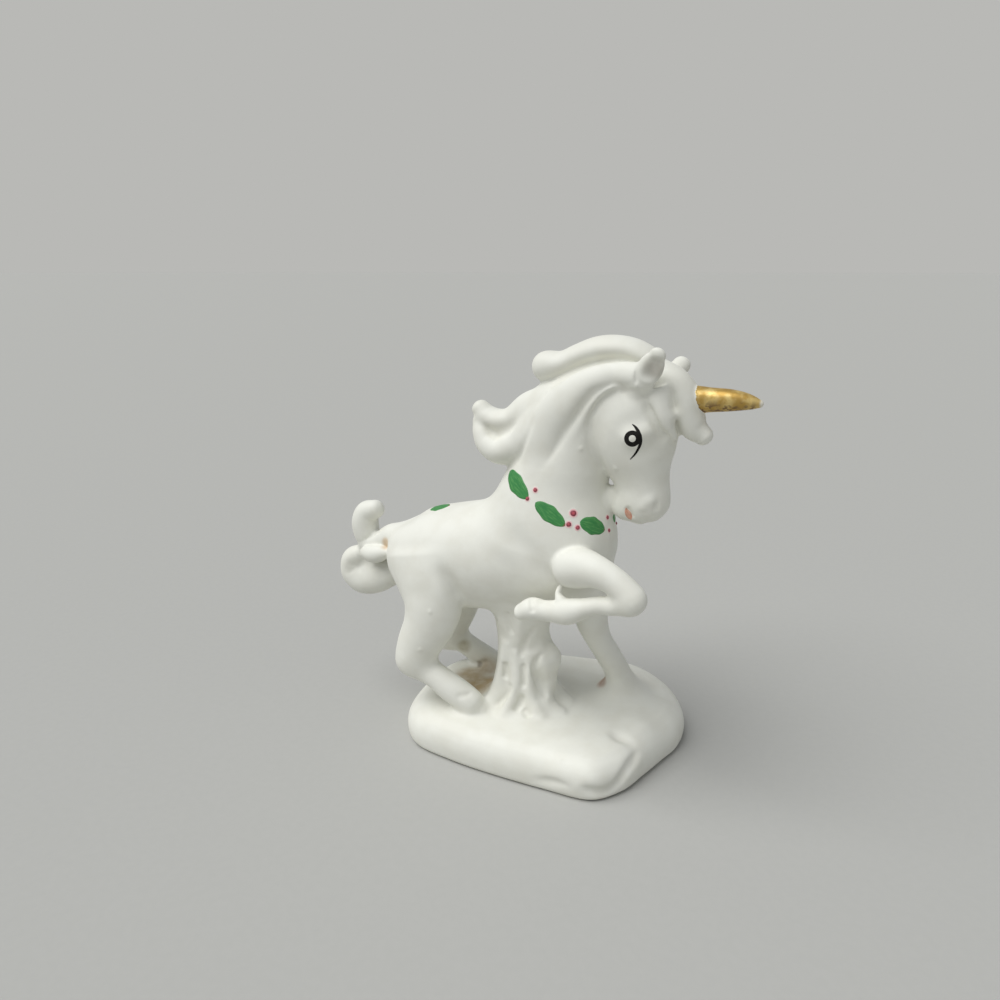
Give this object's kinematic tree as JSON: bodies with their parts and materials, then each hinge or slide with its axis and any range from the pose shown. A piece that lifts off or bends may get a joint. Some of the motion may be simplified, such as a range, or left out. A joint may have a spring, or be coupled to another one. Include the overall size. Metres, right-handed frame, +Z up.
{
  "type": "unicorn figurine",
  "caption": "Small bisque porcelain unicorn prancing on a rock base, belly carried by a tree stump, one foreleg raised, with holly leaves painted round the neck",
  "frame": {"origin": "on the flat underside of the rock base, below the withers", "axes": "X points where the unicorn faces, Y to its left side, Z up"},
  "size_m": [0.1174, 0.0598, 0.1121],
  "materials": {
    "bisque": "unglazed matte bisque porcelain, off-white, fired from slip castings luted together",
    "gilded_bisque": "bisque horn under worn gold paint, satin",
    "leaf_paint": "mid green ceramic paint, brushed on, matte",
    "berry_paint": "pinkish red ceramic paint, dotted on, matte",
    "eye_paint": "black ceramic paint, brushed on, matte",
    "mouth_paint": "orange pink ceramic paint, one thin stroke, matte"
  },
  "bodies": {
    "root": {"base": "bisque", "torso": "bisque", "neck": "bisque", "head": "bisque", "tree_stump": "bisque", "hind_leg_right": "bisque", "hind_leg_left": "bisque", "planted_foreleg": "bisque", "raised_forearm": "bisque", "raised_cannon": "bisque", "foreleg_web": "bisque", "chin_bridge": "bisque", "mane_crest": "bisque", "mane_sheet_right": "bisque", "mane_strand_right": "bisque", "mane_sheet_left": "bisque", "mane_strand_left": "bisque", "mane_lock_upper": "bisque", "mane_lock_lower": "bisque", "forelock": "bisque", "ear_right": "bisque", "ear_left": "bisque", "horn": "gilded_bisque", "tail_dock": "bisque", "tail_upper_curl": "bisque", "tail_lower_curl": "bisque", "tail_front_lock": "bisque", "holly_leaves": "leaf_paint", "holly_berries": "berry_paint", "eye_right": "eye_paint", "eye_left": "eye_paint", "mouth": "mouth_paint"}
  },
  "joints": []
}
